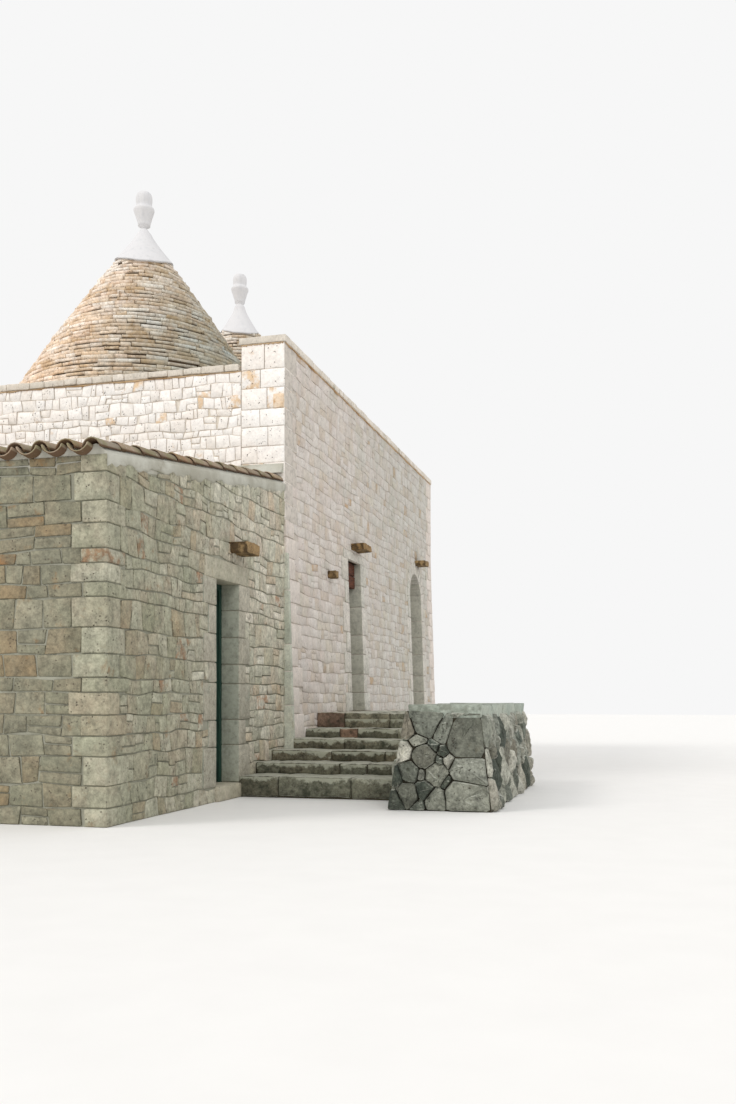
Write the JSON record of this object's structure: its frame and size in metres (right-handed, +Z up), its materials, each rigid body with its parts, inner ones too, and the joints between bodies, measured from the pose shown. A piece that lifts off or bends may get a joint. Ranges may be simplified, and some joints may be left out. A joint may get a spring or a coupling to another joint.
{
  "type": "trullo house",
  "caption": "Dry-stone trullo house: walled block with two corbelled cones and white pinnacles, lean-to tiled annex with a door, arched doorway and stone steps.",
  "frame": {"origin": "middle of the house's base: the centre of its bounding box in plan, at the lowest ground", "axes": "+Z up; +Y runs along the facade from the annex at the front to the back of the main block; +X points out of the facade towards the steps"},
  "size_m": [9.29, 12.5667, 8.67],
  "materials": {
    "floor_stone": "worn limestone paving slabs",
    "squared_stone": "squared limestone blocks with pale lime joints",
    "rubble_stone": "roughly squared limestone with lime mortar",
    "dressed_stone": "dressed limestone",
    "painted_timber": "dark green painted boards, weathered",
    "lime_mortar": "pale lime mortar",
    "clay_tile": "weathered fired clay barrel tiles",
    "limewashed_stone": "limewashed limestone, warm white",
    "facade_stone": "small squared pinkish limestone with flush pale joints",
    "old_timber": "old dark timber, bare",
    "slab_stone": "rough ochre limestone slabs",
    "coping_stone": "pale flat limestone slabs",
    "terrace_paving": "pale stone paving with lime skim",
    "cone_stone": "thin dry-laid limestone slabs, weathered grey and ochre",
    "white_plaster": "white lime plaster",
    "step_stone": "rough grey limestone blocks with moss",
    "cheek_stone": "irregular dry-laid grey limestone"
  },
  "bodies": {
    "house": {"annex_floor": "floor_stone", "annex_front_wall": "squared_stone", "annex_left_wall": "rubble_stone", "annex_right_wall_near": "rubble_stone", "annex_right_wall_far": "rubble_stone", "annex_wall_over_door": "rubble_stone", "annex_door_lintel": "dressed_stone", "annex_door_sill": "dressed_stone", "annex_door_frame": "painted_timber", "annex_roof_deck": "lime_mortar", "annex_roof_tiles": "clay_tile", "annex_roof_flashing": "lime_mortar", "main_floor": "floor_stone", "main_front_wall": "limewashed_stone", "main_left_wall": "rubble_stone", "main_back_wall": "rubble_stone", "facade_near": "facade_stone", "facade_middle": "facade_stone", "facade_far": "facade_stone", "facade_over_main_door": "facade_stone", "facade_over_arch": "facade_stone", "main_door_lintel": "old_timber", "facade_sills": "dressed_stone", "projecting_slabs": "slab_stone", "facade_coping": "coping_stone", "end_copings": "coping_stone", "left_coping": "coping_stone", "terrace_roof": "terrace_paving", "cone_1_left": "cone_stone", "cone_1_right": "cone_stone", "cone_2_left": "cone_stone", "cone_2_right": "cone_stone", "cap_1": "white_plaster", "cap_2": "white_plaster", "pinnacle_1": "white_plaster", "pinnacle_2": "white_plaster", "step_1": "step_stone", "step_2": "step_stone", "step_3": "step_stone", "step_4": "step_stone", "step_5": "step_stone", "step_landing": "step_stone", "stair_cheek": "cheek_stone", "stair_cheek_slab": "coping_stone"},
    "annex_door": {"annex_door": "painted_timber"}
  },
  "joints": [
    {"name": "annex_door_hinge", "type": "hinge", "parent": "house", "child": "annex_door", "pos_m": [1.6264, -3.53915, 1.15], "axis": [0, 0, -1], "range_deg": [0, 90]}
  ]
}
